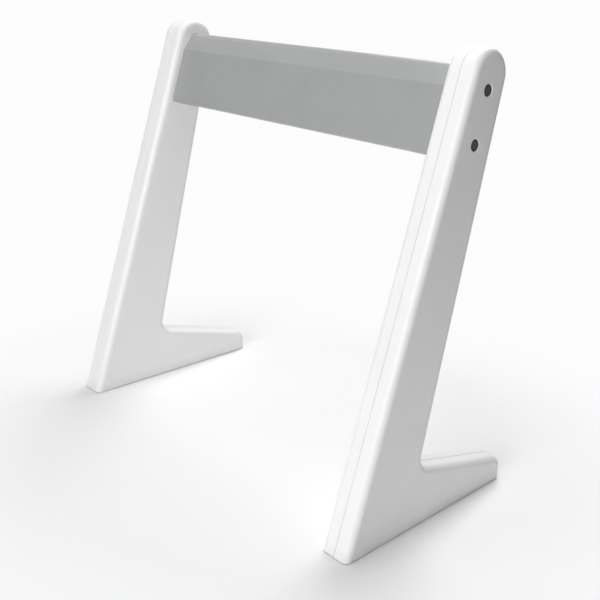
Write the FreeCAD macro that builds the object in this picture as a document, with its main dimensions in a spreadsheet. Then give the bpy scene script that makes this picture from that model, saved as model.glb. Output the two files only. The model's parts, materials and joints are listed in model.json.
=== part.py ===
import FreeCAD, Part
import math
import os
import Sketcher
from FreeCAD import Placement, Rotation, Vector

# Bench-top stand: two hollow moulded side frames joined by one cross rail.
# X runs along the rail, Y from the columns' front edges to the toes of the feet, Z up.
# The origin is on the bench, under the middle of the stand.

doc = FreeCAD.newDocument("BenchStand")
sheet = doc.addObject("Spreadsheet::Sheet", "Sizes")

SIZES = (
    # side frames
    ("leg_spacing", 300.0),
    ("leg_thickness", 24.3),
    ("leg_top", 338.9),
    ("foot_length", 175.4),
    ("column_depth", 62.9),
    ("front_lean", 16.0),
    ("rear_lean", 11.8),
    ("toe_height", 17.5),
    ("foot_slope", 15.2),
    ("crotch_radius", 12.0),
    ("toe_radius", 10.0),
    ("edge_radius", 5.2),
    ("shell_wall", 3.0),
    ("seam_bevel", 0.4),
    ("rib_thickness", 1.6),
    ("rib_relief", 1.0),
    ("rib_bite", 0.5),
    ("rib_start", 30.8),
    # pins that line the two halves of a frame up
    ("pin_diameter", 4.0),
    ("pin_length", 5.0),
    ("pin_clearance", 0.2),
    ("boss_wall", 2.2),
    ("toe_pin_inset", 34.0),
    ("toe_pin_rise", 2.0),
    ("heel_pin_height", 22.8),
    ("heel_pin_shift", 8.0),
    ("hole_runout", 1.0),
    # cross rail
    ("rail_drop", 74.8),
    ("rail_height", 64.0),
    ("rail_depth", 24.6),
    ("rail_taper", 2.05),
    ("roof_angle", 21.0),
    ("ridge_radius", 6.0),
    ("bend_radius", 3.0),
    ("rail_corner", 1.5),
    ("rail_wall", 2.2),
    ("seat_depth", 1.5),
    ("seat_clearance", 0.2),
    ("backing_thickness", 3.0),
    ("backing_margin", 2.0),
    # screws that hold the rail, their washers and the caps over them
    ("screw_low", 12.4),
    ("screw_high", 48.8),
    ("screw_diameter", 4.0),
    ("screw_length", 25.0),
    ("hole_clearance", 0.4),
    ("head_overhang", 1.5),
    ("head_height", 4.0),
    ("head_bevel", 0.3),
    ("thread_bevel", 0.5),
    ("socket_width", 3.0),
    ("socket_depth", 2.0),
    ("socket_turn", 15.0),
    ("washer_overhang", 2.0),
    ("washer_thickness", 0.8),
    ("washer_play", 0.2),
    ("cap_thickness", 2.4),
    ("cap_inset", 0.3),
    ("cap_wall", 1.0),
    ("cap_edge", 0.5),
    ("bore_floor", 1.95),
    ("bore_bevel", 0.4),
    # plugs in the rail's ends, with threaded inserts
    ("plug_length", 24.0),
    ("plug_clearance", 0.15),
    ("hole_stop", 8.0),
    ("core_width", 10.0),
    ("core_margin", 8.0),
    ("core_end", 4.0),
    ("insert_wall", 0.8),
    ("insert_length", 8.0),
    ("insert_groove", 0.4),
    ("plug_screw_diameter", 3.5),
    ("plug_screw_overhang", 1.45),
    ("plug_screw_length", 9.5),
    ("plug_screw_inset", 18.0),
    ("plug_screw_play", 0.2),
    ("plug_screw_land", 0.2),
    ("point_length", 1.5),
    ("point_radius", 0.4),
    # rubber feet
    ("pad_diameter", 16.0),
    ("pad_thickness", 2.0),
    ("pad_proud", 0.8),
    ("pad_edge", 0.3),
    ("pad_front_inset", 22.0),
    ("pad_rear_inset", 20.0),
)
for row, (alias, number) in enumerate(SIZES, start=1):
    sheet.set(f"A{row}", alias.replace("_", " "))
    sheet.set(f"B{row}", str(number))
    sheet.setAlias(f"B{row}", alias)
doc.recompute()

# ---- expressions shared by several sub-parts ----
FRONT_ANGLE = "(Sizes.front_lean * 1 deg)"
REAR_ANGLE = "(Sizes.rear_lean * 1 deg)"
SLOPE_ANGLE = "(Sizes.foot_slope * 1 deg)"
FRONT_Y = "(-Sizes.foot_length / 2)"
HALF_LEG = "(Sizes.leg_thickness / 2)"
LEG_X = "((Sizes.leg_spacing + Sizes.leg_thickness) / 2)"
CENTRE_TAN = f"((tan({FRONT_ANGLE}) + tan({REAR_ANGLE})) / 2)"
RAIL_LEAN = f"atan({CENTRE_TAN})"
RAIL_LENGTH = "(Sizes.leg_spacing + 2 * Sizes.seat_depth)"
RAIL_BASE = "(Sizes.leg_top - Sizes.rail_drop)"
SCREW_HEIGHTS = ("Sizes.screw_low", "Sizes.screw_high")
WASHER_RADIUS = "(Sizes.screw_diameter / 2 + Sizes.washer_overhang)"
CAP_RADIUS = f"({WASHER_RADIUS} + Sizes.washer_play)"
INSERT_RADIUS = "(Sizes.screw_diameter / 2 + Sizes.insert_wall)"
BORE_DEPTH = f"({HALF_LEG} - Sizes.bore_floor)"
HOLE_RADIUS = "((Sizes.screw_diameter + Sizes.hole_clearance) / 2)"
PLUG_INSET = "(-Sizes.rail_wall - Sizes.plug_clearance)"
LEAST_RADIUS = 0.3
TOUCH = 1e-4


def front_edge(height):
    """Y of a column's front edge at a height above the bench."""
    return f"({FRONT_Y} + ({height} - Sizes.pad_proud) * tan({FRONT_ANGLE}))"


def rear_edge(height):
    """Y of a column's rear edge at a height above the bench."""
    return f"({FRONT_Y} + Sizes.column_depth + ({height} - Sizes.pad_proud) * tan({REAR_ANGLE}))"


def centre_line(height):
    """Y of a column's centre line at a height above the bench."""
    return f"(({front_edge(height)} + {rear_edge(height)}) / 2)"


RAIL_Y = centre_line(RAIL_BASE)


def on_rail(height):
    """Y and Z of a point on the rail's middle plane, a distance up the rail."""
    return (f"({RAIL_Y} + {height} * sin({RAIL_LEAN}))",
            f"({RAIL_BASE} + {height} * cos({RAIL_LEAN}))")


def value(expression):
    """The number that an expression gives now."""
    result = sheet.evalExpression(str(expression))
    return float(getattr(result, "Value", result))


# ---- sketch helpers ----
def new_body(label):
    body = doc.addObject("PartDesign::Body", label)
    body.Label = label
    return body


def place(body, x="0", y="0", z="0", axis=None, angle=None):
    """Bind a body's placement to expressions."""
    if axis is not None:
        body.Placement = Placement(Vector(), Rotation(axis, value(angle)))
        body.setExpression("Placement.Rotation.Angle", str(angle))
    body.setExpression("Placement.Base.x", x)
    body.setExpression("Placement.Base.y", y)
    body.setExpression("Placement.Base.z", z)


def new_sketch(body, name, plane, offset="0", rail_frame=False):
    """A sketch on one of the body's origin planes, moved along the plane's normal.
    In the rail frame its origin is the middle of the rail's underside, and it leans with the rail."""
    sketch = body.newObject("Sketcher::SketchObject", f"{body.Name}_{name}")
    support = [item for item in body.Origin.OriginFeatures if item.Role == plane][0]
    sketch.AttachmentSupport = [(support, "")]
    sketch.MapMode = "FlatFace"
    if rail_frame:
        turn = Rotation(Vector(0, 0, -1), value(RAIL_LEAN))
        sketch.AttachmentOffset = Placement(Vector(), turn)
        sketch.setExpression("AttachmentOffset.Rotation.Angle", RAIL_LEAN)
        sketch.setExpression("AttachmentOffset.Base.x", RAIL_Y)
        sketch.setExpression("AttachmentOffset.Base.y", RAIL_BASE)
    sketch.setExpression("AttachmentOffset.Base.z", str(offset))
    return sketch


def dimension(sketch, kind, refs, expression):
    """Add a driving constraint bound to an expression."""
    number = value(expression)
    if kind == "Angle":
        number = math.radians(number)
    index = sketch.addConstraint(Sketcher.Constraint(kind, *refs, number))
    name = f"{kind}_{index}"
    sketch.renameConstraint(index, name)
    sketch.setExpression(f"Constraints.{name}", str(expression))


def locate(sketch, refs, x, y):
    """Fix a point of the sketch at expressions x, y."""
    for kind, axis, expression in (("DistanceX", -2, x), ("DistanceY", -1, y)):
        if abs(value(expression)) < TOUCH:
            sketch.addConstraint(Sketcher.Constraint("PointOnObject", *refs, axis))
        else:
            dimension(sketch, kind, (-1, 1) + refs, expression)


def circle(sketch, x, y, radius):
    centre = Vector(value(x), value(y), 0)
    index = sketch.addGeometry(Part.Circle(centre, Vector(0, 0, 1), value(radius)))
    locate(sketch, (index, 3), x, y)
    dimension(sketch, "Radius", (index,), radius)


def polygon(sketch, corners):
    """A closed polygon whose corners are pairs of expressions."""
    points = [Vector(value(x), value(y), 0) for x, y in corners]
    count = len(points)
    first = None
    for number, start in enumerate(points):
        index = sketch.addGeometry(Part.LineSegment(start, points[(number + 1) % count]))
        first = index if first is None else first
    for number, (x, y) in enumerate(corners):
        here = first + number
        sketch.addConstraint(Sketcher.Constraint("Coincident", first + (number - 1) % count, 2, here, 1))
        locate(sketch, (here, 1), x, y)


def meet(p, direction_p, q, direction_q):
    """Where two lines cross, each given by a point and a direction."""
    cross = direction_p.x * direction_q.y - direction_p.y * direction_q.x
    gap = q - p
    along = (gap.x * direction_q.y - gap.y * direction_q.x) / cross
    return p + direction_p * along


def rounded_outline(sketch, corners, radii):
    """A closed outline through the corners, anticlockwise, with an arc at each corner that has a radius.
    Returns the index of the line that leaves each corner, and of the arc at each corner."""
    count = len(corners)
    ends = []
    arcs = []
    for number, corner in enumerate(corners):
        before = (corner - corners[number - 1]).normalize()
        after = (corners[(number + 1) % count] - corner).normalize()
        turn = math.atan2(before.x * after.y - before.y * after.x, before.dot(after))
        radius = radii[number]
        reach = radius * math.tan(abs(turn) / 2)
        ends.append((corner - before * reach, corner + after * reach))
        if radius == 0:
            arcs.append(None)
            continue
        side = math.copysign(1, turn)
        centre = ends[-1][0] + Vector(-before.y, before.x, 0) * radius * side
        first, last = [math.atan2(end.y - centre.y, end.x - centre.x) for end in ends[-1]]
        if side < 0:
            first, last = last, first
        ring = Part.Circle(centre, Vector(0, 0, 1), radius)
        arcs.append((sketch.addGeometry(Part.ArcOfCircle(ring, first, last)), side))
    lines = []
    for number in range(count):
        start = ends[number][1]
        stop = ends[(number + 1) % count][0]
        lines.append(sketch.addGeometry(Part.LineSegment(start, stop)))
    for number, arc in enumerate(arcs):
        incoming = lines[number - 1]
        outgoing = lines[number]
        if arc is None:
            sketch.addConstraint(Sketcher.Constraint("Coincident", incoming, 2, outgoing, 1))
            continue
        index, side = arc
        enter, leave = (1, 2) if side > 0 else (2, 1)
        sketch.addConstraint(Sketcher.Constraint("Tangent", incoming, 2, index, enter))
        sketch.addConstraint(Sketcher.Constraint("Tangent", index, leave, outgoing, 1))
    return lines, [arc and arc[0] for arc in arcs]


def hold_line(sketch, line, x, y, angle):
    """Fix a line by a point that it passes through and its angle."""
    index = sketch.addGeometry(Part.Point(Vector(value(x), value(y), 0)), True)
    sketch.addConstraint(Sketcher.Constraint("PointOnObject", index, 1, line))
    locate(sketch, (index, 1), x, y)
    dimension(sketch, "Angle", (line,), angle)


def leg_outline(sketch, inset):
    """Side view of a frame, every edge moved inwards by inset: foot, toe, crotch, column and round top."""
    ground = "Sizes.pad_proud"
    # each edge: a point on it, and its direction going anticlockwise
    edges = (
        ("0", f"({ground} + {inset})", "(0 deg)"),
        (f"(Sizes.foot_length / 2 - {inset})", "(Sizes.toe_height / 2)", "(90 deg)"),
        ("Sizes.foot_length / 2", f"({ground} + Sizes.toe_height - {inset} / cos({SLOPE_ANGLE}))",
         f"(180 deg - {SLOPE_ANGLE})"),
        (f"({rear_edge(ground)} - {inset} / cos({REAR_ANGLE}))", ground, f"(90 deg - {REAR_ANGLE})"),
        (f"({front_edge(ground)} + {inset} / cos({FRONT_ANGLE}))", ground, f"(-90 deg - {FRONT_ANGLE})"),
    )
    points = [Vector(value(x), value(y), 0) for x, y, angle in edges]
    angles = [math.radians(value(angle)) for x, y, angle in edges]
    ways = [Vector(math.cos(angle), math.sin(angle), 0) for angle in angles]
    corners = [meet(points[number - 1], ways[number - 1], points[number], ways[number])
               for number in range(len(edges))]
    # the round top touches both edges of the column and the height of the frame
    apex = corners[4]
    half = (value(FRONT_ANGLE) - value(REAR_ANGLE)) / 2
    lean = math.radians((value(FRONT_ANGLE) + value(REAR_ANGLE)) / 2)
    drop = apex.y - value(f"(Sizes.leg_top - {inset})")
    top_radius = drop / (math.cos(lean) / math.sin(math.radians(half)) - 1)
    crotch = f"(Sizes.crotch_radius + {inset})"
    toe = f"(Sizes.toe_radius - {inset})"
    radii = (0, 0, value(toe), value(crotch), top_radius)
    lines, arcs = rounded_outline(sketch, corners, radii)
    for line, (x, y, angle) in zip(lines, edges):
        hold_line(sketch, line, x, y, angle)
    dimension(sketch, "Radius", (arcs[2],), toe)
    dimension(sketch, "Radius", (arcs[3],), crotch)
    centre = sketch.Geometry[arcs[4]].Center
    peak = sketch.addGeometry(Part.Point(centre + Vector(0, top_radius, 0)), True)
    sketch.addConstraint(Sketcher.Constraint("PointOnObject", peak, 1, arcs[4]))
    sketch.addConstraint(Sketcher.Constraint("Vertical", arcs[4], 3, peak, 1))
    dimension(sketch, "DistanceY", (-1, 1, peak, 1), f"(Sizes.leg_top - {inset})")


def rail_outline(sketch, grow):
    """End view of the rail, every edge moved outwards by grow: two nearly upright sides
    under a steep roof with a round ridge. The origin is the middle of the underside."""
    taper = "(Sizes.rail_taper * 1 deg)"
    roof = "(Sizes.roof_angle * 1 deg)"
    foot = f"(Sizes.rail_depth / 2 + {grow} / cos({taper}))"
    ridge = f"(Sizes.ridge_radius + {grow})"
    ridge_height = "(Sizes.rail_height - Sizes.ridge_radius)"
    roof_foot = f"({ridge} / cos({roof}))"
    corner = f"max(Sizes.rail_corner + {grow}; {LEAST_RADIUS})"
    bend = f"max(Sizes.bend_radius + {grow}; {LEAST_RADIUS})"
    edges = (
        ("0", f"(-{grow})", "(0 deg)"),
        (foot, "0", f"(90 deg + {taper})"),
        (roof_foot, ridge_height, f"(90 deg + {roof})"),
        (f"(-{roof_foot})", ridge_height, f"(-90 deg - {roof})"),
        (f"(-{foot})", "0", f"(-90 deg - {taper})"),
    )
    points = [Vector(value(x), value(y), 0) for x, y, angle in edges]
    angles = [math.radians(value(angle)) for x, y, angle in edges]
    ways = [Vector(math.cos(angle), math.sin(angle), 0) for angle in angles]
    corners = [meet(points[number - 1], ways[number - 1], points[number], ways[number])
               for number in range(len(edges))]
    radii = [value(expression) for expression in (corner, corner, bend, ridge, bend)]
    lines, arcs = rounded_outline(sketch, corners, radii)
    for line, (x, y, angle) in zip(lines, edges):
        hold_line(sketch, line, x, y, angle)
    for arc, expression in zip(arcs, (corner, corner, bend, ridge, bend)):
        dimension(sketch, "Radius", (arc,), expression)


# ---- feature helpers ----
def pad(body, sketch, name, length, towards):
    """Add material from the sketch, towards +1 or -1 along its plane's normal."""
    feature = body.newObject("PartDesign::Pad", f"{body.Name}_{name}")
    feature.Profile = sketch
    feature.setExpression("Length", length)
    feature.Reversed = towards < 0
    doc.recompute()
    return feature


def pocket(body, sketch, name, length, towards):
    """Cut material from the sketch, towards +1 or -1 along its plane's normal."""
    before = body.Shape.Volume
    feature = body.newObject("PartDesign::Pocket", f"{body.Name}_{name}")
    feature.Profile = sketch
    feature.setExpression("Length", length)
    feature.Reversed = towards > 0
    doc.recompute()
    if body.Shape.Volume > before - TOUCH:
        raise RuntimeError(f"{feature.Name} cuts nothing")
    return feature


def edge_names(shape, wanted):
    """Names of the edges whose every sample point is wanted."""
    names = []
    for number, edge in enumerate(shape.Edges, start=1):
        samples = edge.discretize(5)
        if all(wanted(point) for point in samples):
            names.append(f"Edge{number}")
    return names


def dress(body, kind, name, base, edges, size, expression):
    """A fillet or a chamfer on named edges of the body's last feature."""
    feature = body.newObject(f"PartDesign::{kind}", f"{body.Name}_{name}")
    feature.Base = (base, edges)
    feature.setExpression(size, expression)
    doc.recompute()
    return feature


def revolve(body, sketch, name, axis):
    feature = body.newObject("PartDesign::Revolution", f"{body.Name}_{name}")
    feature.Profile = sketch
    feature.ReferenceAxis = (sketch, [axis])
    feature.Angle = 360
    doc.recompute()
    return feature


def turned(label, corners):
    """A body turned about X from corners given as (distance along X, radius)."""
    body = new_body(label)
    sketch = new_sketch(body, "profile", "XY_Plane")
    polygon(sketch, corners)
    revolve(body, sketch, "turning", "H_Axis")
    return body


# ---- side frames ----
RIB_SHARES = (0.10, 0.22, 0.34, 0.46, 0.58, 0.70)
PIN_SHARES = (0.16, 0.40, 0.64)
PAD_PLACES = {
    "front": "(-Sizes.foot_length / 2 + Sizes.pad_front_inset)",
    "rear": "(Sizes.foot_length / 2 - Sizes.pad_rear_inset)",
}


def column_height(share):
    """A height on the column, from the lowest rib's start (0) to the rail's underside (1)."""
    return f"(Sizes.rib_start + {share} * ({RAIL_BASE} - Sizes.rib_start))"


def pin_places():
    """The pins' centres: up the column, one in the heel and one near the toe."""
    places = [(centre_line(column_height(share)), column_height(share)) for share in PIN_SHARES]
    toe_y = "(Sizes.foot_length / 2 - Sizes.toe_pin_inset)"
    toe_z = "(Sizes.pad_proud + Sizes.toe_height / 2 + Sizes.toe_pin_rise)"
    heel_z = "Sizes.heel_pin_height"
    places.append((toe_y, toe_z))
    places.append((f"({centre_line(heel_z)} - Sizes.heel_pin_shift)", heel_z))
    return places


def leg_shell(label, leg_x, towards, outer):
    """One moulded half of a frame. Its open side is at X = 0 and its face at half the frame's
    thickness, towards +X or -X. The outer half has the pins and the screw bores, the inner
    half the sockets and the seat for the rail."""
    body = new_body(label)
    place(body, x=leg_x)
    doc.recompute()
    skin = f"({HALF_LEG} - Sizes.shell_wall / 2)"
    floor = f"({HALF_LEG} - Sizes.shell_wall)"
    face_x = towards * value(HALF_LEG)
    ground = value("Sizes.pad_proud")

    # solid half with rounded outer edges and a bevel along the seam
    sketch = new_sketch(body, "outline", "YZ_Plane")
    leg_outline(sketch, "0")
    block = pad(body, sketch, "block", HALF_LEG, towards)

    def above_ground(point):
        return point.z > ground + TOUCH

    def on_face(point):
        return abs(point.x - face_x) < TOUCH

    def on_seam(point):
        return abs(point.x) < TOUCH

    shape = block.Shape
    rim = [name for name in edge_names(shape, on_face)
           if above_ground(shape.getElement(name).CenterOfMass)]
    block = dress(body, "Fillet", "edge_round", block, rim, "Radius", "Sizes.edge_radius")
    shape = block.Shape
    seam = [name for name in edge_names(shape, on_seam)
            if above_ground(shape.getElement(name).CenterOfMass)]
    block = dress(body, "Chamfer", "seam_bevel", block, seam, "Size", "Sizes.seam_bevel")

    # hollow, with a wall that follows the rounded edges
    sketch = new_sketch(body, "hollow_outline", "YZ_Plane")
    leg_outline(sketch, "Sizes.shell_wall")
    hollow = pocket(body, sketch, "hollow", floor, towards)
    floor_x = towards * value(floor)
    inner_rim = edge_names(hollow.Shape, lambda point: abs(point.x - floor_x) < TOUCH)
    dress(body, "Fillet", "hollow_round", hollow, inner_rim, "Radius",
          f"max(Sizes.edge_radius - Sizes.shell_wall; {LEAST_RADIUS})")

    # cross ribs in the column
    root = f"({floor} + Sizes.rib_bite)"
    sketch = new_sketch(body, "rib_outline", "YZ_Plane", f"{towards} * {root}")
    reach = "(Sizes.shell_wall - Sizes.rib_bite)"
    for share in RIB_SHARES:
        low = column_height(share)
        high = f"({low} + Sizes.rib_thickness)"
        polygon(sketch, (
            (f"({front_edge(low)} + {reach})", low),
            (f"({rear_edge(low)} - {reach})", low),
            (f"({rear_edge(high)} - {reach})", high),
            (f"({front_edge(high)} + {reach})", high),
        ))
    pad(body, sketch, "ribs", f"({root} - Sizes.rib_relief)", -towards)

    # bosses for the pins and the rail's screws
    sketch = new_sketch(body, "pin_bosses_outline", "YZ_Plane", f"{towards} * {skin}")
    for y, z in pin_places():
        circle(sketch, y, z, "(Sizes.pin_diameter / 2 + Sizes.boss_wall)")
    pad(body, sketch, "pin_bosses", skin, -towards)
    bore_radius = CAP_RADIUS if outer else HOLE_RADIUS
    if not outer:
        sketch = new_sketch(body, "backing_outline", "YZ_Plane", f"{towards} * {skin}", True)
        rail_outline(sketch, "Sizes.backing_margin")
        pad(body, sketch, "backing", "(Sizes.shell_wall / 2 + Sizes.backing_thickness)", -towards)
    sketch = new_sketch(body, "screw_bosses_outline", "YZ_Plane", f"{towards} * {skin}", True)
    for height in SCREW_HEIGHTS:
        circle(sketch, "0", height, f"({bore_radius} + Sizes.boss_wall)")
    pad(body, sketch, "screw_bosses", skin, -towards)

    # screw holes, with a counterbore for head and cap, or a seat for the rail
    face = f"{towards} * {HALF_LEG}"
    sketch = new_sketch(body, "screw_hole_outline", "YZ_Plane", face, True)
    for height in SCREW_HEIGHTS:
        circle(sketch, "0", height, HOLE_RADIUS)
    pocket(body, sketch, "screw_holes", HALF_LEG, -towards)
    sketch = new_sketch(body, "face_cut_outline", "YZ_Plane", face, True)
    if outer:
        for height in SCREW_HEIGHTS:
            circle(sketch, "0", height, bore_radius)
        cut = pocket(body, sketch, "counterbores", BORE_DEPTH, -towards)
        radius = value(bore_radius)
        mouths = [name for name in edge_names(cut.Shape, on_face)
                  if abs(getattr(cut.Shape.getElement(name).Curve, "Radius", 0) - radius) < TOUCH]
        dress(body, "Chamfer", "bore_bevels", cut, mouths, "Size", "Sizes.bore_bevel")
    else:
        rail_outline(sketch, "Sizes.seat_clearance")
        pocket(body, sketch, "rail_seat", "Sizes.seat_depth", -towards)

    # pins or sockets
    sketch = new_sketch(body, "pin_outline", "YZ_Plane")
    for y, z in pin_places():
        clearance = "0" if outer else "Sizes.pin_clearance"
        circle(sketch, y, z, f"((Sizes.pin_diameter + {clearance}) / 2)")
    if outer:
        pad(body, sketch, "pins", "Sizes.pin_length", -towards)
    else:
        pocket(body, sketch, "sockets", "(Sizes.pin_length + Sizes.hole_runout)", towards)

    # recesses for the rubber feet, shared with the other half
    sketch = new_sketch(body, "pad_recess_outline", "XY_Plane", "Sizes.pad_proud")
    for y in PAD_PLACES.values():
        circle(sketch, "0", y, "(Sizes.pad_diameter / 2)")
    pocket(body, sketch, "pad_recesses", "(Sizes.pad_thickness - Sizes.pad_proud)", 1)
    return body


SIDES = (("left", -1), ("right", 1))
subparts = []
for side, sign in SIDES:
    leg_x = f"{sign} * {LEG_X}"
    subparts.append(leg_shell(f"{side}_leg_outer_shell", leg_x, sign, True))
    subparts.append(leg_shell(f"{side}_leg_inner_shell", leg_x, -sign, False))


# ---- cross rail ----
RAIL_FRAME = {"y": RAIL_Y, "z": RAIL_BASE, "axis": Vector(-1, 0, 0), "angle": RAIL_LEAN}
PLUG_SCREW_X = f"({RAIL_LENGTH} / 2 - Sizes.plug_screw_inset)"
CONE_DEPTH = "Sizes.plug_screw_overhang"
CONE_RADIUS = "(Sizes.plug_screw_diameter / 2 + Sizes.plug_screw_overhang)"

rail = new_body("cross_rail")
place(rail, **RAIL_FRAME)
doc.recompute()
sketch = new_sketch(rail, "outline", "YZ_Plane", f"(-{RAIL_LENGTH} / 2)")
rail_outline(sketch, "0")
pad(rail, sketch, "bar", RAIL_LENGTH, 1)
sketch = new_sketch(rail, "hollow_outline", "YZ_Plane", f"(-{RAIL_LENGTH} / 2)")
rail_outline(sketch, "(-Sizes.rail_wall)")
pocket(rail, sketch, "hollow", RAIL_LENGTH, 1)
for side, sign in SIDES:
    sketch = new_sketch(rail, f"{side}_screw_hole_outline", "XY_Plane")
    circle(sketch, f"{sign} * {PLUG_SCREW_X}", "0",
           "((Sizes.plug_screw_diameter + Sizes.plug_screw_play) / 2)")
    pocket(rail, sketch, f"{side}_screw_hole", "Sizes.rail_wall", 1)
    sketch = new_sketch(rail, f"{side}_countersink_profile", "XZ_Plane")
    x = f"{sign} * {PLUG_SCREW_X}"
    polygon(sketch, (
        (x, "0"),
        (f"({x} + {CONE_RADIUS})", "0"),
        (f"({x} + Sizes.plug_screw_diameter / 2)", CONE_DEPTH),
        (x, CONE_DEPTH),
    ))
    axis_line = sketch.addGeometry(Part.LineSegment(
        Vector(value(x), 0, 0), Vector(value(x), 1, 0)), True)
    sketch.addConstraint(Sketcher.Constraint("Vertical", axis_line))
    locate(sketch, (axis_line, 1), x, "0")
    before = rail.Shape.Volume
    groove = rail.newObject("PartDesign::Groove", f"cross_rail_{side}_countersink")
    groove.Profile = sketch
    groove.ReferenceAxis = (sketch, ["Axis0"])
    groove.Angle = 360
    doc.recompute()
    if rail.Shape.Volume > before - TOUCH:
        raise RuntimeError("countersink cuts nothing")
subparts.append(rail)


# ---- plugs in the rail's ends ----
def rail_end_plug(label, sign):
    """A moulded plug that fills the end of the hollow rail and carries the threaded inserts."""
    body = new_body(label)
    place(body, **RAIL_FRAME)
    doc.recompute()
    end = f"{sign} * {RAIL_LENGTH} / 2"
    sketch = new_sketch(body, "outline", "YZ_Plane", end)
    rail_outline(sketch, PLUG_INSET)
    pad(body, sketch, "block", "Sizes.plug_length", -sign)
    sketch = new_sketch(body, "insert_hole_outline", "YZ_Plane", end)
    for height in SCREW_HEIGHTS:
        circle(sketch, "0", height, INSERT_RADIUS)
    pocket(body, sketch, "insert_holes", "Sizes.insert_length", -sign)
    sketch = new_sketch(body, "screw_hole_outline", "YZ_Plane", end)
    for height in SCREW_HEIGHTS:
        circle(sketch, "0", height, HOLE_RADIUS)
    pocket(body, sketch, "screw_holes", "(Sizes.plug_length - Sizes.hole_stop)", -sign)
    # core-out between the two screws, open towards the middle of the rail
    sketch = new_sketch(body, "core_outline", "YZ_Plane", f"{sign} * ({RAIL_LENGTH} / 2 - Sizes.plug_length)")
    low = "(Sizes.screw_low + Sizes.core_margin)"
    high = "(Sizes.screw_high - Sizes.core_margin)"
    edge = "(Sizes.core_width / 2)"
    polygon(sketch, ((f"(-{edge})", low), (edge, low), (edge, high), (f"(-{edge})", high)))
    pocket(body, sketch, "core", "(Sizes.plug_length - Sizes.core_end)", sign)
    sketch = new_sketch(body, "fixing_hole_outline", "XY_Plane")
    circle(sketch, f"{sign} * {PLUG_SCREW_X}", "0", "(Sizes.plug_screw_diameter / 2)")
    pocket(body, sketch, "fixing_hole", "(Sizes.plug_screw_length + Sizes.hole_runout)", 1)
    return body


def socket_screw(label, x, y, z, sign):
    """A socket-head cap screw along X, its head's bearing face at x and its point towards the rail."""
    radius = "Sizes.screw_diameter / 2"
    head = "Sizes.screw_diameter / 2 + Sizes.head_overhang"
    tip = "(-Sizes.screw_length)"
    body = turned(label, (
        ("Sizes.head_height", "0"),
        ("Sizes.head_height", f"({head} - Sizes.head_bevel)"),
        ("(Sizes.head_height - Sizes.head_bevel)", f"({head})"),
        ("0", f"({head})"),
        ("0", f"({radius})"),
        (f"({tip} + Sizes.thread_bevel)", f"({radius})"),
        (tip, f"({radius} - Sizes.thread_bevel)"),
        (tip, "0"),
    ))
    sketch = new_sketch(body, "socket_outline", "YZ_Plane", "Sizes.head_height")
    reach = "Sizes.socket_width / sqrt(3)"
    turns = [f"(({60 * corner} + Sizes.socket_turn) * 1 deg)" for corner in range(6)]
    polygon(sketch, [(f"({reach} * cos({turn}))", f"({reach} * sin({turn}))") for turn in turns])
    pocket(body, sketch, "socket", "Sizes.socket_depth", -1)
    face_along(body, x, y, z, sign)
    return body


def face_along(body, x, y, z, sign):
    """Place a turned body, its +X end facing away from the rail on either side."""
    if sign < 0:
        place(body, x=x, y=y, z=z, axis=Vector(0, 0, 1), angle="180 deg")
    else:
        place(body, x=x, y=y, z=z)


def washer(label, x, y, z, sign):
    """A flat washer whose inner face is at x."""
    thickness = "Sizes.washer_thickness"
    body = turned(label, (
        ("0", HOLE_RADIUS),
        ("0", WASHER_RADIUS),
        (thickness, WASHER_RADIUS),
        (thickness, HOLE_RADIUS),
    ))
    face_along(body, x, y, z, sign)
    return body


def screw_cap(label, x, y, z, sign):
    """A push-in cap with a dished back, whose outer face is at x."""
    rim = CAP_RADIUS
    back = "(-Sizes.cap_thickness)"
    body = turned(label, (
        ("0", "0"),
        ("0", f"({rim} - Sizes.cap_edge)"),
        ("(-Sizes.cap_edge * 0.3)", f"({rim} - Sizes.cap_edge * 0.3)"),
        ("(-Sizes.cap_edge)", rim),
        (back, rim),
        (back, f"({rim} - Sizes.cap_wall)"),
        ("(-Sizes.cap_wall)", f"({rim} - Sizes.cap_wall)"),
        ("(-Sizes.cap_wall)", "0"),
    ))
    face_along(body, x, y, z, sign)
    return body


GROOVE_SHARES = (0.40, 0.45, 0.55, 0.60)


def threaded_insert(label, x, y, z, sign):
    """A brass insert with a groove round its middle, its outer face at x."""
    hole = "(Sizes.screw_diameter / 2)"
    rim = INSERT_RADIUS
    waist = f"({INSERT_RADIUS} - Sizes.insert_groove)"
    # along the insert's length: the groove's sloping sides and its floor between them
    shares = zip(GROOVE_SHARES, (rim, waist, waist, rim))
    groove = [(f"(-Sizes.insert_length * {share})", radius) for share, radius in shares]
    body = turned(label, [
        ("0", hole),
        ("0", rim),
        *groove,
        ("(-Sizes.insert_length)", rim),
        ("(-Sizes.insert_length)", hole),
    ])
    face_along(body, x, y, z, sign)
    return body


def group(label, bodies):
    """Identical pieces of one side, kept as separate solids in one sub-part."""
    compound = doc.addObject("Part::Compound", label)
    compound.Label = label
    compound.Links = bodies
    doc.recompute()
    return compound


def plug_screw(label, sign):
    """A countersunk screw up through the rail's underside into the plug."""
    radius = "(Sizes.plug_screw_diameter / 2)"
    length = "Sizes.plug_screw_length"
    body = new_body(label)
    sketch = new_sketch(body, "profile", "XZ_Plane")
    polygon(sketch, (
        ("0", "Sizes.plug_screw_land"),
        (f"({CONE_RADIUS} - Sizes.plug_screw_land)", "Sizes.plug_screw_land"),
        (radius, CONE_DEPTH),
        (radius, f"({length} - Sizes.point_length)"),
        ("Sizes.point_radius", length),
        ("0", length),
    ))
    revolve(body, sketch, "turning", "V_Axis")
    offset = f"{sign} * {PLUG_SCREW_X}"
    place(body, x=offset, **RAIL_FRAME)
    return body


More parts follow.
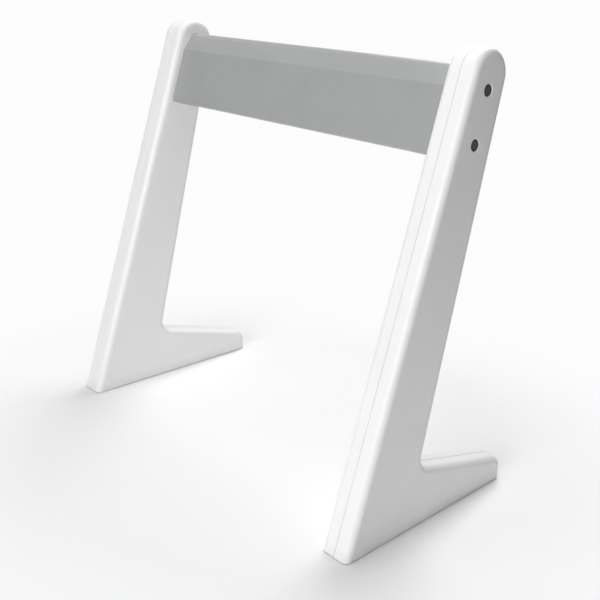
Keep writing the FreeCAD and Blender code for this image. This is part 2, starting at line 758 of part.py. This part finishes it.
for side, sign in SIDES:
    subparts.append(rail_end_plug(f"{side}_rail_end_plug", sign))
    face_x = f"{sign} * ({LEG_X} + {HALF_LEG})"
    bearing_x = f"{sign} * ({LEG_X} + Sizes.bore_floor)"
    head_x = f"{sign} * ({LEG_X} + Sizes.bore_floor + Sizes.washer_thickness)"
    cap_x = f"{sign} * ({LEG_X} + {HALF_LEG} - Sizes.cap_inset)"
    insert_x = f"{sign} * {RAIL_LENGTH} / 2"
    for plural, make, x in (
        ("rail_screws", socket_screw, head_x),
        ("rail_washers", washer, bearing_x),
        ("screw_caps", screw_cap, cap_x),
        ("threaded_inserts", threaded_insert, insert_x),
    ):
        pieces = []
        for level, height in zip(("lower", "upper"), SCREW_HEIGHTS):
            y, z = on_rail(height)
            pieces.append(make(f"{side}_{level}_{plural[:-1]}", x, y, z, sign))
        subparts.append(group(f"{side}_{plural}", pieces))
    subparts.append(plug_screw(f"{side}_plug_screw", sign))


# ---- rubber feet ----
def foot_pad(label, x, y):
    """A rubber disc that stands on the bench and reaches up into its recess."""
    body = new_body(label)
    sketch = new_sketch(body, "profile", "XZ_Plane")
    rim = "(Sizes.pad_diameter / 2)"
    polygon(sketch, (
        ("0", "0"),
        (f"({rim} - Sizes.pad_edge)", "0"),
        (rim, "Sizes.pad_edge"),
        (rim, "Sizes.pad_thickness"),
        ("0", "Sizes.pad_thickness"),
    ))
    revolve(body, sketch, "turning", "V_Axis")
    place(body, x=x, y=y)
    return body


for side, sign in SIDES:
    for end, y in PAD_PLACES.items():
        subparts.append(foot_pad(f"{side}_{end}_foot_pad", f"{sign} * {LEG_X}", y))

doc.recompute()


# ---- checks and files ----
def check_document():
    for item in doc.Objects:
        if "Invalid" in item.State or "Error" in item.State:
            raise RuntimeError(f"{item.Name} failed: {item.State}")
    for item in subparts:
        if item.Shape.isNull() or not item.Shape.isValid():
            raise RuntimeError(f"{item.Label} has no valid shape")


check_document()
os.makedirs("parts", exist_ok=True)
for item in subparts:
    item.Shape.exportStep(os.path.join("parts", f"{item.Label}.step"))
print(f"{len(subparts)} sub-parts written")
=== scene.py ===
import json
import math

import bpy
from mathutils import Matrix, Vector

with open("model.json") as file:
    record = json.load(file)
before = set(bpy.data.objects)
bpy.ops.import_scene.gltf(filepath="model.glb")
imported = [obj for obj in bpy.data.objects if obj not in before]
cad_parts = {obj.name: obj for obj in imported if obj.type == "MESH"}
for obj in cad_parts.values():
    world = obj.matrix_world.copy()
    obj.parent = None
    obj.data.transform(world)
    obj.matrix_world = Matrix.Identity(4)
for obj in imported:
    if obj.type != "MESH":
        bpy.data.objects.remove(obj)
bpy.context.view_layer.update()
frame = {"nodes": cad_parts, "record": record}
nodes = frame["nodes"]
scene = bpy.context.scene

# Lengths are in metres, scales of noise in features per metre and powers in watts.

# the background's tone
PALE = (0.98, 0.98, 0.98, 1.0)

# nearly all values of a noise lie between these two
NOISE_LOW = 0.3
NOISE_HIGH = 0.7


# ---- node helpers ----
class Tree:
    """A material's node tree, with short calls for the nodes used below."""

    def __init__(self, name):
        self.material = bpy.data.materials.new(name)
        self.material.use_nodes = True
        self.tree = self.material.node_tree
        self.shader = self.tree.nodes["Principled BSDF"]
        self.where = self.node("ShaderNodeTexCoord").outputs["Object"]

    def link(self, source, target):
        self.tree.links.new(source, target)

    def node(self, kind, **inputs):
        """A new node, with the values of inputs given by name."""
        item = self.tree.nodes.new(kind)
        for name, value in inputs.items():
            item.inputs[name].default_value = value
        return item

    def feed(self, socket, value):
        """Give a socket a link from another socket, a number or a colour."""
        if isinstance(value, bpy.types.NodeSocket):
            self.link(value, socket)
        elif isinstance(value, (int, float)):
            socket.default_value = value
        else:
            socket.default_value = (*value, 1.0)

    def along(self, axis):
        """The X, Y or Z of the place on the object."""
        item = self.node("ShaderNodeSeparateXYZ")
        self.link(self.where, item.inputs["Vector"])
        return item.outputs[axis]

    def noise(self, scale, detail=2.0, roughness=0.5, stretch=None):
        """Noise from 0 to 1. A stretch below 1 draws it out along that axis."""
        item = self.node("ShaderNodeTexNoise", Scale=scale, Detail=detail, Roughness=roughness)
        source = self.where
        if stretch is not None:
            mapping = self.node("ShaderNodeMapping", Scale=stretch)
            self.link(source, mapping.inputs["Vector"])
            source = mapping.outputs["Vector"]
        self.link(source, item.inputs["Vector"])
        return item.outputs["Fac"]

    def math(self, operation, *values):
        item = self.node("ShaderNodeMath")
        item.operation = operation
        for socket, value in zip(item.inputs, values):
            self.feed(socket, value)
        return item.outputs["Value"]

    def spread(self, source, low_in, high_in, low_out, high_out):
        """The source's range low_in to high_in, stretched to low_out to high_out and held there."""
        item = self.node("ShaderNodeMapRange")
        self.link(source, item.inputs["Value"])
        ends = {"From Min": low_in, "From Max": high_in, "To Min": low_out, "To Max": high_out}
        for name, value in ends.items():
            item.inputs[name].default_value = value
        return item.outputs["Result"]

    def vary(self, noise, low, high):
        """From low to high as the noise goes through its usual range."""
        return self.spread(noise, NOISE_LOW, NOISE_HIGH, low, high)

    def mix(self, factor, a, b):
        """The colour a where the factor is 0 and b where it is 1."""
        item = self.node("ShaderNodeMix")
        item.data_type = "RGBA"
        for name, value in (("Factor", factor), ("A", a), ("B", b)):
            self.feed(item.inputs[name], value)
        return next(out for out in item.outputs if out.type == "RGBA")

    def clouds(self, noise, a, b):
        """A colour that drifts from a to b with the noise."""
        return self.mix(self.vary(noise, 0.0, 1.0), a, b)

    def specks(self, scale, share, size):
        """Sparse round specks: 1 inside a speck and 0 elsewhere. Size is the largest, in parts of a cell."""
        cells = self.node("ShaderNodeTexVoronoi", Scale=scale)
        self.link(self.where, cells.inputs["Vector"])
        draw = self.node("ShaderNodeSeparateColor")
        self.link(cells.outputs["Color"], draw.inputs["Color"])
        chosen = self.math("LESS_THAN", draw.outputs["Red"], share)
        radius = self.math("MULTIPLY", draw.outputs["Green"], size)
        near = self.math("LESS_THAN", cells.outputs["Distance"], radius)
        return self.math("MULTIPLY", chosen, near)

    def bump(self, height, depth, strength, after=None):
        """Bump of a height from 0 to 1, its depth in metres, on top of an earlier bump if there is one."""
        item = self.node("ShaderNodeBump", Strength=strength, Distance=depth)
        self.link(height, item.inputs["Height"])
        if after is not None:
            self.link(after, item.inputs["Normal"])
        return item.outputs["Normal"]

    def finish(self, colour, rough, normal=None, **values):
        """The material, with further values set on the shader's own inputs."""
        self.link(colour, self.shader.inputs["Base Color"])
        self.link(rough, self.shader.inputs["Roughness"])
        if normal is not None:
            self.link(normal, self.shader.inputs["Normal"])
        for name, value in values.items():
            self.shader.inputs[name.replace("_", " ")].default_value = value
        return self.material


# ---- places taken from the frame ----
def points_of(name):
    return [vertex.co for vertex in nodes[name].data.vertices]


def middle(values):
    return (min(values) + max(values)) / 2


def parting_plane():
    """X of the plane where the right frame's two halves meet, midway between the frame's faces."""
    return middle([point.x for name in ("right_leg_inner_shell", "right_leg_outer_shell")
                   for point in points_of(name)])


def cap_centres():
    """Y and Z of the middle of the lower and the upper cap, the same on both sides."""
    points = points_of("right_screw_caps")
    between = middle([point.z for point in points])
    lower = [point for point in points if point.z < between]
    upper = [point for point in points if point.z >= between]
    return [(middle([point.y for point in cap]), middle([point.z for point in cap]))
            for cap in (lower, upper)]


# ---- materials ----
def bench_wear(t, low, high, ragged):
    """1 at the bench, falling to 0 between two heights that noise shifts by up to ragged."""
    shift = t.vary(t.noise(scale=140.0, detail=3.0), -ragged, ragged)
    return t.spread(t.math("ADD", t.along("Z"), shift), low, high, 1.0, 0.0)


def groove_shade(t, core, reach):
    """1 in the parting groove round each frame, falling to 0 between two distances from its plane."""
    offset = t.math("SUBTRACT", t.math("ABSOLUTE", t.along("X")), parting_plane())
    return t.spread(t.math("ABSOLUTE", offset), core, reach, 1.0, 0.0)


def white_moulding():
    """White plastic with a fine grain, faint clouds, a scuffed foot, a few specks, and painted shade with
    some grime in the parting groove.
    """
    t = Tree("white_moulding")
    shaded, bright = (0.821, 0.811, 0.808), (0.845, 0.835, 0.831)
    blotch, scuff = (0.792, 0.785, 0.783), (0.68, 0.67, 0.65)
    speck, groove_shade_and_grime = (0.45, 0.44, 0.42), (0.30, 0.295, 0.285)

    colour = t.clouds(t.noise(scale=9.0, detail=3.0, roughness=0.55), shaded, bright)
    blotches = t.spread(t.noise(scale=55.0, detail=3.0, roughness=0.6), 0.35, 0.75, 0.0, 0.30)
    colour = t.mix(blotches, colour, blotch)
    scuffs = t.math("MULTIPLY", bench_wear(t, low=0.001, high=0.010, ragged=0.004), 0.35)
    colour = t.mix(scuffs, colour, scuff)
    specks = t.math("MULTIPLY", t.specks(scale=95.0, share=0.035, size=0.055), 0.5)
    colour = t.mix(specks, colour, speck)
    # painted shade in the parting groove, made uneven by noise that stands for grime
    shade_and_grime_strength = t.vary(t.noise(scale=120.0, detail=3.0), 0.30, 0.50)
    colour = t.mix(t.math("MULTIPLY", groove_shade(t, core=0.00012, reach=0.00040), shade_and_grime_strength), colour, groove_shade_and_grime)

    rough = t.vary(t.noise(scale=30.0, detail=4.0, roughness=0.6), 0.36, 0.46)
    peel = t.bump(t.noise(scale=260.0), depth=0.00005, strength=0.35)
    grain = t.bump(t.noise(scale=1900.0, roughness=0.6), depth=0.00003, strength=0.55, after=peel)
    return t.finish(colour, rough, grain, Specular_IOR_Level=0.45)


def grey_coat():
    """Satin grey coating on the rail, with fine paler flakes."""
    t = Tree("grey_coat")
    shaded, bright, flake = (0.313, 0.315, 0.317), (0.342, 0.344, 0.346), (0.389, 0.396, 0.400)

    colour = t.clouds(t.noise(scale=22.0, detail=4.0, roughness=0.6), shaded, bright)
    flakes = t.spread(t.noise(scale=2600.0, detail=1.0), 0.35, 0.65, 0.0, 0.22)
    colour = t.mix(flakes, colour, flake)
    rough = t.vary(t.noise(scale=60.0, detail=4.0, roughness=0.6), 0.30, 0.38)
    waves = t.bump(t.noise(scale=180.0), depth=0.00004, strength=0.25)
    grain = t.bump(t.noise(scale=2200.0, roughness=0.6), depth=0.00002, strength=0.5, after=waves)
    return t.finish(colour, rough, grain, Specular_IOR_Level=0.5)


def dark_cap():
    """Near-black plastic with painted shade that darkens towards each cap's rim."""
    t = Tree("dark_cap")
    black, faded, painted_rim_shade = (0.050, 0.050, 0.050), (0.070, 0.069, 0.068), (0.016, 0.015, 0.015)
    rim_shade_start, rim_shade_full, rim_shade_share = 0.0030, 0.0037, 0.75

    # the distance from the nearer cap's middle, with X left out so that it holds at both ends
    flat = t.node("ShaderNodeVectorMath")
    flat.operation = "MULTIPLY"
    flat.inputs[1].default_value = (0.0, 1.0, 1.0)
    t.link(t.where, flat.inputs[0])
    distances = []
    for y, z in cap_centres():
        distance = t.node("ShaderNodeVectorMath")
        distance.operation = "DISTANCE"
        distance.inputs[1].default_value = (0.0, y, z)
        t.link(flat.outputs["Vector"], distance.inputs[0])
        distances.append(distance.outputs["Value"])
    from_middle = t.math("MINIMUM", *distances)

    colour = t.clouds(t.noise(scale=700.0, detail=3.0), black, faded)
    # painted shade: darker towards each cap's rim, where a chamfer would lie in shade
    colour = t.mix(t.spread(from_middle, rim_shade_start, rim_shade_full, 0.0, rim_shade_share), colour, painted_rim_shade)
    rough = t.vary(t.noise(scale=900.0), 0.42, 0.56)
    grain = t.bump(t.noise(scale=2600.0, roughness=0.6), depth=0.00003, strength=0.6)
    return t.finish(colour, rough, grain)


def plug_moulding():
    """Dark grey plastic of the rail's end plugs."""
    t = Tree("plug_moulding")
    shaded, bright = (0.10, 0.10, 0.105), (0.135, 0.135, 0.14)

    colour = t.clouds(t.noise(scale=240.0, detail=3.0), shaded, bright)
    rough = t.vary(t.noise(scale=500.0), 0.45, 0.6)
    grain = t.bump(t.noise(scale=1500.0), depth=0.00003, strength=0.5)
    return t.finish(colour, rough, grain)


def foot_rubber():
    """Matt black rubber with some dust."""
    t = Tree("foot_rubber")
    black, dusty = (0.030, 0.030, 0.030), (0.085, 0.083, 0.080)

    dust = t.spread(t.noise(scale=350.0, detail=4.0, roughness=0.65), 0.45, 0.7, 0.0, 0.5)
    colour = t.mix(dust, black, dusty)
    rough = t.vary(t.noise(scale=420.0, detail=3.0), 0.72, 0.88)
    grain = t.bump(t.noise(scale=1300.0, detail=3.0, roughness=0.6), depth=0.00006, strength=0.7)
    return t.finish(colour, rough, grain)


def turned_metal(name, dark, light, smooth, rough):
    """Plated or turned metal with fine rings round the X axis, its roughness from smooth to rough."""
    t = Tree(name)
    rings = t.noise(scale=900.0, stretch=(1.0, 0.12, 0.12))
    colour = t.clouds(rings, dark, light)
    roughness = t.vary(t.noise(scale=600.0, detail=3.0), smooth, rough)
    return t.finish(colour, roughness, t.bump(rings, depth=0.00002, strength=0.5), Metallic=1.0)


finishes = {
    "white_shell": white_moulding(),
    "grey_rail": grey_coat(),
    "dark_cap": dark_cap(),
    "plug_moulding": plug_moulding(),
    "foot_rubber": foot_rubber(),
    "fastener_steel": turned_metal("zinc_plate", dark=(0.46, 0.46, 0.47), light=(0.62, 0.62, 0.63),
                                   smooth=0.25, rough=0.38),
    "insert_brass": turned_metal("turned_brass", dark=(0.58, 0.40, 0.16), light=(0.76, 0.56, 0.28),
                                 smooth=0.22, rough=0.34),
}
for entry in frame["record"]["subparts"]:
    nodes[entry["node"]].data.materials[0] = finishes[entry["material_slot"]]


# ---- floor ----
def floor_material():
    """Pale paper under the stand, which fades to the background's even tone far from it."""
    t = Tree("floor_paper")
    dull, bright, seen_directly = (0.90, 0.90, 0.90), (0.915, 0.915, 0.915), (0.78, 0.78, 0.78)
    fade_start, fade_end = 0.20, 0.36

    colour = t.clouds(t.noise(scale=3.0), dull, bright)
    rough = t.vary(t.noise(scale=20.0), 0.85, 0.95)
    # seen directly, the paper is a little darker near the stand and as pale as the background far from it
    seen = t.node("ShaderNodeLightPath").outputs["Is Camera Ray"]
    colour = t.mix(t.math("MULTIPLY", seen, 0.5), colour, seen_directly)
    material = t.finish(colour, rough, Specular_IOR_Level=0.1)

    distance = t.node("ShaderNodeVectorMath")
    distance.operation = "LENGTH"
    t.link(t.where, distance.inputs[0])
    faded = t.spread(distance.outputs["Value"], fade_start, fade_end, 0.0, 1.0)
    pale = t.node("ShaderNodeEmission", Color=PALE, Strength=1.0)
    blend = t.node("ShaderNodeMixShader")
    t.link(t.math("MULTIPLY", seen, faded), blend.inputs["Fac"])
    t.link(t.shader.outputs["BSDF"], blend.inputs[1])
    t.link(pale.outputs["Emission"], blend.inputs[2])
    t.link(blend.outputs["Shader"], t.tree.nodes["Material Output"].inputs["Surface"])
    return material


def build_floor():
    """A wide flat floor, divided more finely in the middle."""
    edges = (-40.0, -5.0, -1.5, -0.5, 0.5, 1.5, 5.0, 40.0)
    count = len(edges)
    points = [(x, y, 0.0) for y in edges for x in edges]
    faces = []
    for row in range(count - 1):
        for column in range(count - 1):
            first = row * count + column
            faces.append((first, first + 1, first + count + 1, first + count))
    mesh = bpy.data.meshes.new("floor")
    mesh.from_pydata(points, [], faces)
    mesh.materials.append(floor_material())
    floor = bpy.data.objects.new("floor", mesh)
    scene.collection.objects.link(floor)


build_floor()


# ---- light ----
def softbox(name, place, target, size, power, tint=(1.0, 1.0, 1.0)):
    """A rectangular lamp that the camera doesn't see. The size is its width and height."""
    data = bpy.data.lights.new(name, "AREA")
    data.shape = "RECTANGLE"
    data.size, data.size_y = size
    data.energy = power
    data.color = tint
    lamp = bpy.data.objects.new(name, data)
    lamp.location = place
    lamp.rotation_euler = (Vector(target) - Vector(place)).to_track_quat("-Z", "Y").to_euler()
    lamp.visible_camera = False
    scene.collection.objects.link(lamp)


softbox("front_right_softbox", place=(0.5, -1.3, 0.5), target=(0.0, 0.0, 0.2), size=(0.8, 0.6),
        power=11.9, tint=(0.990, 1.0, 1.005))
softbox("low_softbox", place=(0.1, -0.9, 0.05), target=(0.0, 0.0, 0.1), size=(1.2, 0.1), power=0.52)
softbox("top_softbox", place=(0.0, -0.1, 1.1), target=(0.0, 0.0, 0.0), size=(1.0, 1.0), power=6.0)
softbox("top_front_softbox", place=(-0.1, -0.8, 1.1), target=(0.0, 0.0, 0.1), size=(0.6, 0.6), power=0.8)
softbox("top_left_softbox", place=(-0.8, -0.1, 0.9), target=(0.0, 0.0, 0.1), size=(0.4, 0.4), power=0.4)
softbox("back_softbox", place=(-0.3, 0.8, 1.2), target=(0.0, 0.0, 0.1), size=(0.9, 0.9), power=14.5)
softbox("back_left_softbox", place=(-0.8, 1.0, 0.5), target=(0.0, 0.0, 0.2), size=(1.0, 0.8), power=1.3)
softbox("side_softbox", place=(0.75, 0.0, 0.08), target=(0.17, 0.0, 0.05), size=(1.0, 0.16),
        power=0.08, tint=(1.0, 0.95, 0.93))


def build_surround(mirrored_strength):
    """An even pale surround, seen at full strength and mirrored at less. It lights nothing else."""
    world = bpy.data.worlds.new("studio")
    world.use_nodes = True
    sky = world.node_tree
    surround = sky.nodes["Background"]
    surround.inputs["Color"].default_value = PALE
    path = sky.nodes.new("ShaderNodeLightPath")
    strength = sky.nodes.new("ShaderNodeMath")
    strength.operation = "MULTIPLY_ADD"
    strength.inputs[1].default_value = mirrored_strength
    sky.links.new(path.outputs["Is Glossy Ray"], strength.inputs[0])
    sky.links.new(path.outputs["Is Camera Ray"], strength.inputs[2])
    sky.links.new(strength.outputs["Value"], surround.inputs["Strength"])
    scene.world = world


build_surround(mirrored_strength=0.25)


# ---- camera ----
def build_camera(place, azimuth, elevation, roll, lens, shift):
    """The view from a place: azimuth from -Y towards +X, elevation and roll in degrees, lens in mm."""
    azimuth, elevation, roll = (math.radians(angle) for angle in (azimuth, elevation, roll))
    back = Vector((math.sin(azimuth) * math.cos(elevation), -math.cos(azimuth) * math.cos(elevation),
                   math.sin(elevation)))
    right = Vector((math.cos(azimuth), math.sin(azimuth), 0.0))
    up = back.cross(right)
    turned_right = right * math.cos(roll) + up * math.sin(roll)
    turned_up = up * math.cos(roll) - right * math.sin(roll)
    data = bpy.data.cameras.new("camera")
    data.sensor_width = 36.0
    data.lens = lens
    data.shift_x, data.shift_y = shift
    data.clip_start = 0.01
    data.clip_end = 60.0
    camera = bpy.data.objects.new("camera", data)
    basis = Matrix((turned_right, turned_up, back)).transposed().to_4x4()
    camera.matrix_world = Matrix.Translation(place) @ basis
    scene.collection.objects.link(camera)
    scene.camera = camera


build_camera(place=(0.5083, -0.4551, 0.3729), azimuth=46.79, elevation=16.59, roll=2.29,
             lens=51.986, shift=(-0.0008, -0.0956))

scene.view_settings.view_transform = "Standard"
scene.view_settings.look = "None"
scene.view_settings.exposure = 0.0
scene.view_settings.gamma = 1.0
